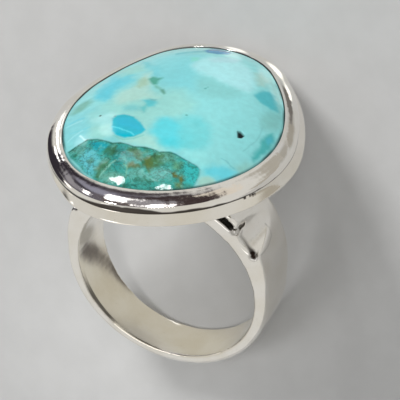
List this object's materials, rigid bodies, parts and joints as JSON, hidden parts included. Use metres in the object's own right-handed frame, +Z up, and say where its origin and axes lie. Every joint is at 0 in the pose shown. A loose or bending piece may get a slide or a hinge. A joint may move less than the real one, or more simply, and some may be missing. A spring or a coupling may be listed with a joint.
{
  "type": "ring",
  "caption": "Finger ring with a large freeform blue-green stone in a heavy domed bezel, carried by split shoulders on a rounded band; it lies on its side.",
  "frame": {"origin": "on the floor under the middle of the lying ring's box", "axes": "+Z up; +Y the long way of the lying ring, from the foot of the band to the bezel's far rim; +X across the finger, towards the right shoulder as the stone's face is seen with the long axis upright"},
  "size_m": [0.0232, 0.0304, 0.0262],
  "materials": {
    "silver": "polished, slightly worn silver",
    "turquoise": "polished blue-green stone with brown matrix"
  },
  "bodies": {
    "root": {"silver_mount": "silver", "turquoise_cabochon": "turquoise"}
  },
  "joints": []
}
